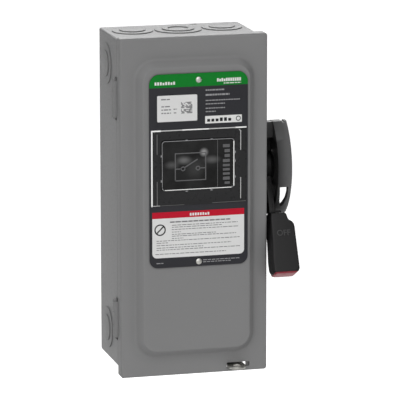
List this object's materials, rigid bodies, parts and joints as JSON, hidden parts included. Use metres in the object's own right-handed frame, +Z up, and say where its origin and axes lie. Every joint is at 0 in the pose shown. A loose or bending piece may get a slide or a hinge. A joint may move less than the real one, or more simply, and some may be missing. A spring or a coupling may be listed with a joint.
{
  "type": "ac disconnect box",
  "caption": "Wall-mounted fusible AC disconnect: sheet-steel box with hinged windowed door, side lever with guard and padlock hasp, blades, fuses and lugs inside.",
  "frame": {"origin": "on the box's flat back face, midway between its top and bottom walls and in line with the middle knockouts", "axes": "+X to the right seen from the front, +Y into the wall, +Z up along the height of the box"},
  "size_m": [0.197, 0.1232, 0.371],
  "materials": {
    "enclosure_paint": "satin grey powder coat",
    "zinc_steel": "zinc plated",
    "label_film": "printed film",
    "clear_plastic": "clear moulded plastic",
    "gasket_rubber": "matte",
    "guard_plastic": "moulded",
    "black_plastic": "moulded",
    "red_plastic": "moulded",
    "insulator": "moulded glass polyester",
    "aluminium": "extruded",
    "copper": "bare copper",
    "fuse_body": "fibre tube"
  },
  "bodies": {
    "box": {"enclosure_box": "enclosure_paint", "hinge_leaf_upper": "enclosure_paint", "hinge_leaf_lower": "enclosure_paint", "hinge_pin_upper": "enclosure_paint", "hinge_pin_lower": "enclosure_paint", "padlock_hasp": "zinc_steel", "guard_screw_upper": "zinc_steel", "guard_screw_lower": "zinc_steel", "mechanism_bracket": "zinc_steel", "line_shield": "clear_plastic", "handle_guard": "guard_plastic", "line_base": "insulator", "load_base": "insulator", "ground_bar": "aluminium", "line_lug_1": "aluminium", "line_lug_2": "aluminium", "line_lug_3": "aluminium", "load_lug_1": "aluminium", "load_lug_2": "aluminium", "load_lug_3": "aluminium", "line_lug_screw_1": "zinc_steel", "line_lug_screw_2": "zinc_steel", "line_lug_screw_3": "zinc_steel", "load_lug_screw_1": "zinc_steel", "load_lug_screw_2": "zinc_steel", "load_lug_screw_3": "zinc_steel", "line_jaw_1": "copper", "line_jaw_2": "copper", "line_jaw_3": "copper", "hinge_jaw_1": "copper", "hinge_jaw_2": "copper", "hinge_jaw_3": "copper", "load_clip_1": "copper", "load_clip_2": "copper", "load_clip_3": "copper", "fuse_1": "fuse_body", "fuse_2": "fuse_body", "fuse_3": "fuse_body"},
    "door": {"door": "enclosure_paint", "label_plate": "label_film", "label_rivet_top": "zinc_steel", "label_rivet_bottom": "zinc_steel", "window_gasket": "gasket_rubber", "window_lens": "clear_plastic", "interlock_hook": "zinc_steel"},
    "handle": {"handle_arm": "black_plastic", "handle_front_shell": "black_plastic", "handle_back_shell": "red_plastic", "handle_shaft": "zinc_steel", "drive_crank": "zinc_steel", "drive_spring": "zinc_steel"},
    "blades": {"blade_crossbar": "black_plastic", "switch_blade_1": "copper", "switch_blade_2": "copper", "switch_blade_3": "copper"},
    "latch": {"interlock_latch": "zinc_steel"}
  },
  "joints": [
    {"name": "door_hinge", "type": "hinge", "parent": "box", "child": "door", "pos_m": [-0.08, -0.0775, 0], "axis": [0, 0, -1], "range_deg": [0, 135]},
    {"name": "handle_throw", "type": "hinge", "parent": "box", "child": "handle", "pos_m": [0.09, -0.06, 0.03], "axis": [-1, 0, 0], "range_deg": [0, 125]},
    {"name": "blade_swing", "type": "hinge", "parent": "box", "child": "blades", "pos_m": [0, -0.042, 0.016], "axis": [-1, 0, 0], "range_deg": [0, 50]},
    {"name": "latch_swing", "type": "hinge", "parent": "box", "child": "latch", "pos_m": [0.066, -0.06, 0.108], "axis": [1, 0, 0], "range_deg": [0, 25]}
  ],
  "couplings": [
    {"joint": "blade_swing", "follows": "handle_throw", "ratio": 0.4},
    {"joint": "latch_swing", "follows": "handle_throw", "ratio": 0.2}
  ]
}
